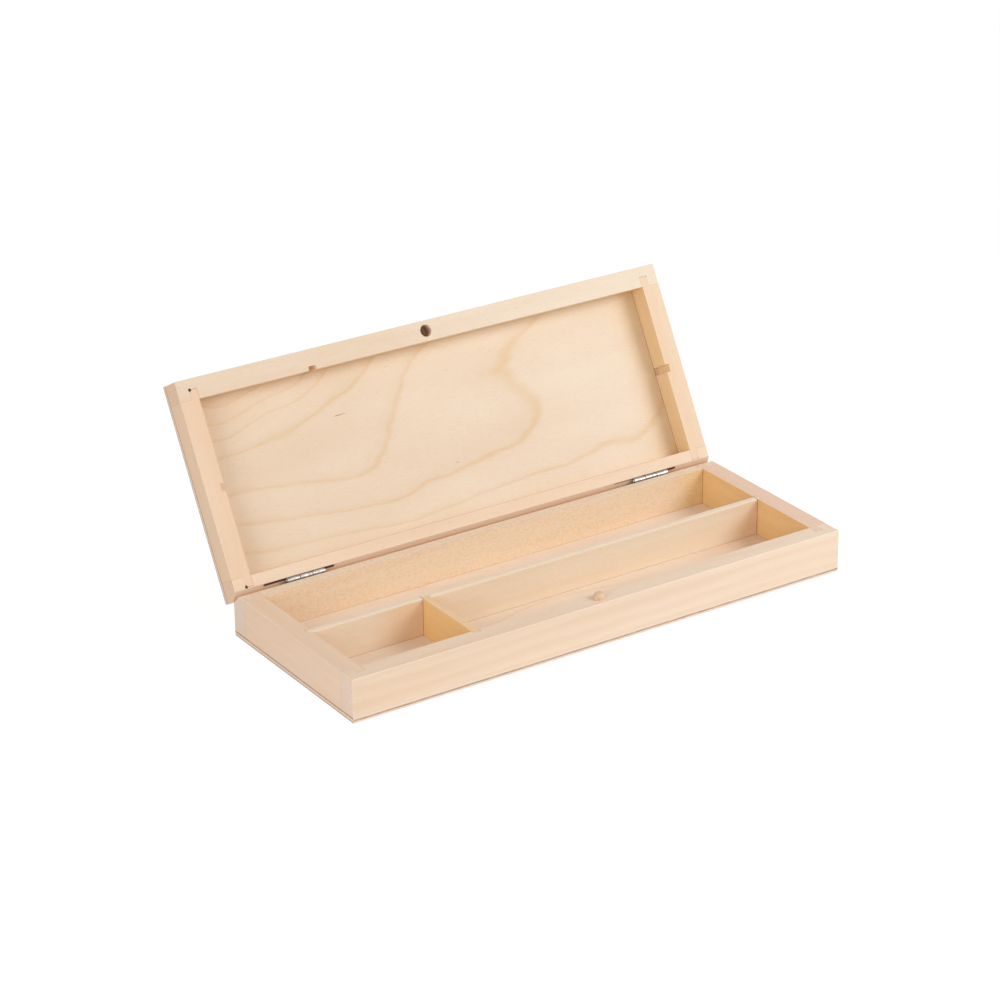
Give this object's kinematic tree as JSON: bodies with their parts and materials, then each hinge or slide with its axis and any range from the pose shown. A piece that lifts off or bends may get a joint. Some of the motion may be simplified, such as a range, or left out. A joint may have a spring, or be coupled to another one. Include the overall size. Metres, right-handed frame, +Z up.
{
  "type": "hinged pencil box",
  "caption": "Long shallow wooden box with a hinged lid, a full-length divider and a cross divider, for keeping pencils and small tools.",
  "frame": {"origin": "centre of the base's underside", "axes": "+X along the box to the right, +Y from the front to the hinges, +Z up out of the trays"},
  "size_m": [0.29, 0.175, 0.1178],
  "materials": {
    "rail_wood": "raw sanded solid wood, pale and close-grained",
    "plywood": "raw sanded plywood with rotary-cut faces",
    "divider_wood": "raw sanded solid wood, thin strips",
    "dowel_wood": "raw turned dowel",
    "hinge_steel": "nickel-plated rolled sheet"
  },
  "bodies": {
    "base": {"base_front_rail": "rail_wood", "base_back_rail": "rail_wood", "base_left_rail": "rail_wood", "base_right_rail": "rail_wood", "base_bottom_panel": "plywood", "long_divider": "divider_wood", "short_divider": "divider_wood", "closure_peg": "dowel_wood", "left_hinge_base_leaf": "hinge_steel", "left_hinge_pin": "hinge_steel", "right_hinge_base_leaf": "hinge_steel", "right_hinge_pin": "hinge_steel"},
    "lid": {"lid_front_rail": "rail_wood", "lid_back_rail": "rail_wood", "lid_left_rail": "rail_wood", "lid_right_rail": "rail_wood", "lid_panel": "plywood", "left_hinge_lid_leaf": "hinge_steel", "right_hinge_lid_leaf": "hinge_steel"}
  },
  "joints": [
    {"name": "lid_hinge", "type": "hinge", "parent": "base", "child": "lid", "pos_m": [0, 0.053, 0.023], "axis": [1, 0, 0], "range_deg": [0, 119.22]}
  ]
}
